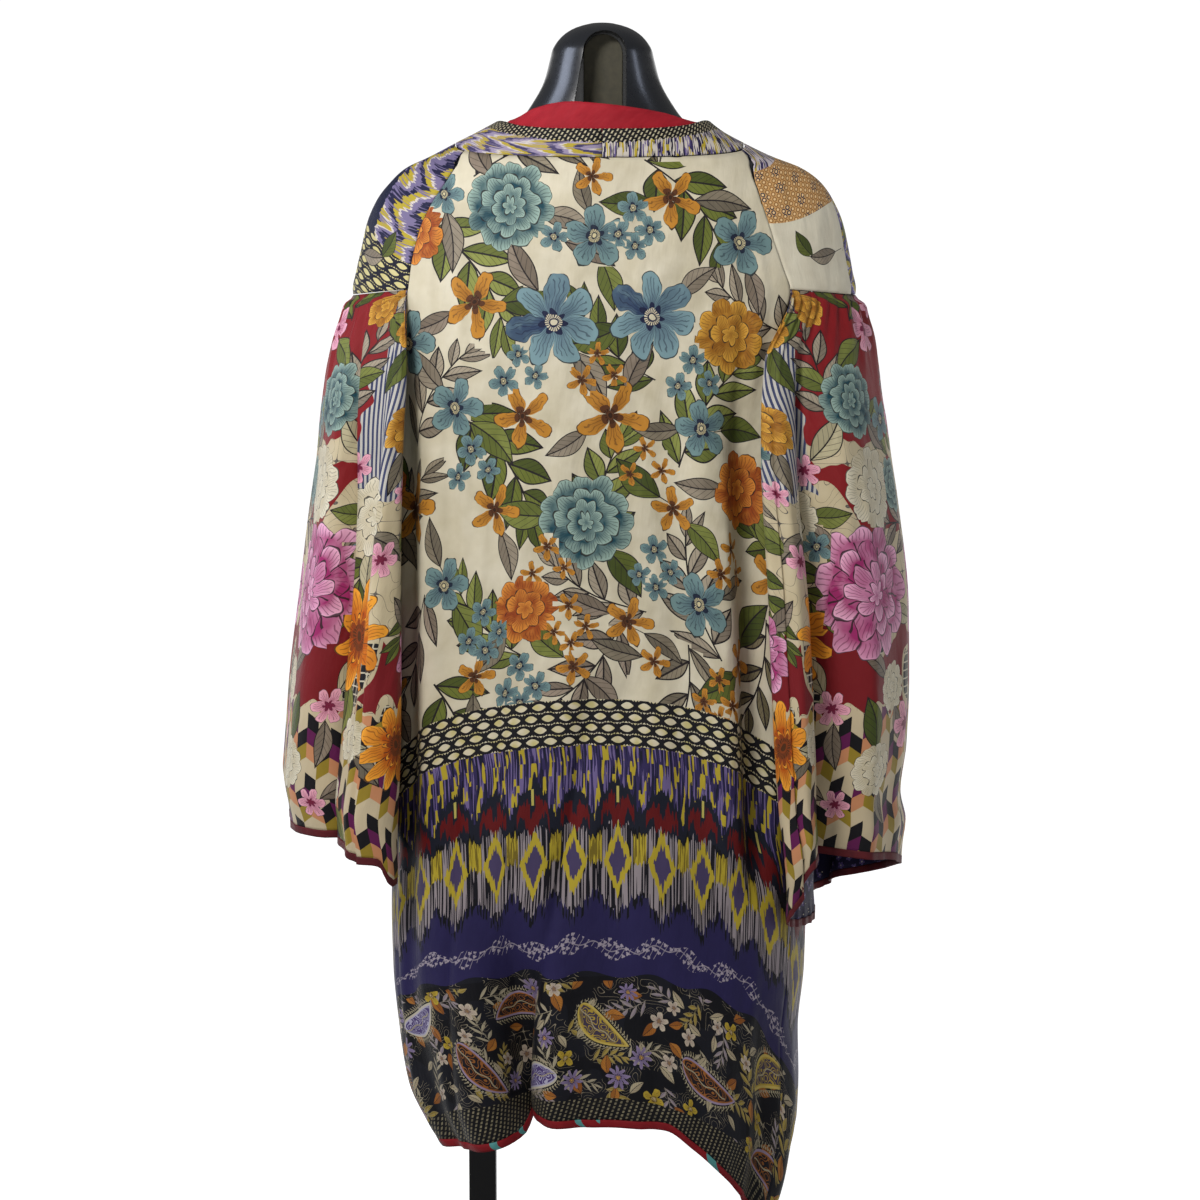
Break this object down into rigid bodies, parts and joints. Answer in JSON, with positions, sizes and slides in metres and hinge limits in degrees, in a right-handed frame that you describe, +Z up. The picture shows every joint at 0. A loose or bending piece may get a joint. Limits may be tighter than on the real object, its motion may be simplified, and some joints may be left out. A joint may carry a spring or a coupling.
{
  "type": "kimono cardigan on a dress form with stand",
  "caption": "Open kimono cardigan with gathered dropped sleeves, yokes, neckband and bound hems, draped over a limbless dress form on a pole and base plate.",
  "frame": {"origin": "centre of the base plate's underside", "axes": "+Z up, +Y towards the wearer's front, +X towards the wearer's right"},
  "size_m": [0.5541, 0.3, 1.186],
  "materials": {
    "cream_silk": "printed silk, soft sheen",
    "border_silk": "printed silk, soft sheen",
    "sleeve_silk": "printed silk, soft sheen",
    "band_silk": "printed silk, soft sheen",
    "red_silk": "plain silk binding",
    "black_plastic": "glossy",
    "black_steel": "black powder coat"
  },
  "bodies": {
    "root": {"back_panel": "cream_silk", "collar_facing": "red_silk", "hem_binding": "red_silk", "front_left": "border_silk", "yoke_left": "band_silk", "neckband_left": "band_silk", "sleeve_left": "sleeve_silk", "cuff_binding_left": "red_silk", "front_right": "border_silk", "yoke_right": "band_silk", "neckband_right": "band_silk", "sleeve_right": "sleeve_silk", "cuff_binding_right": "red_silk", "dress_form": "black_plastic", "pole": "black_steel", "base_plate": "black_steel"}
  },
  "joints": []
}
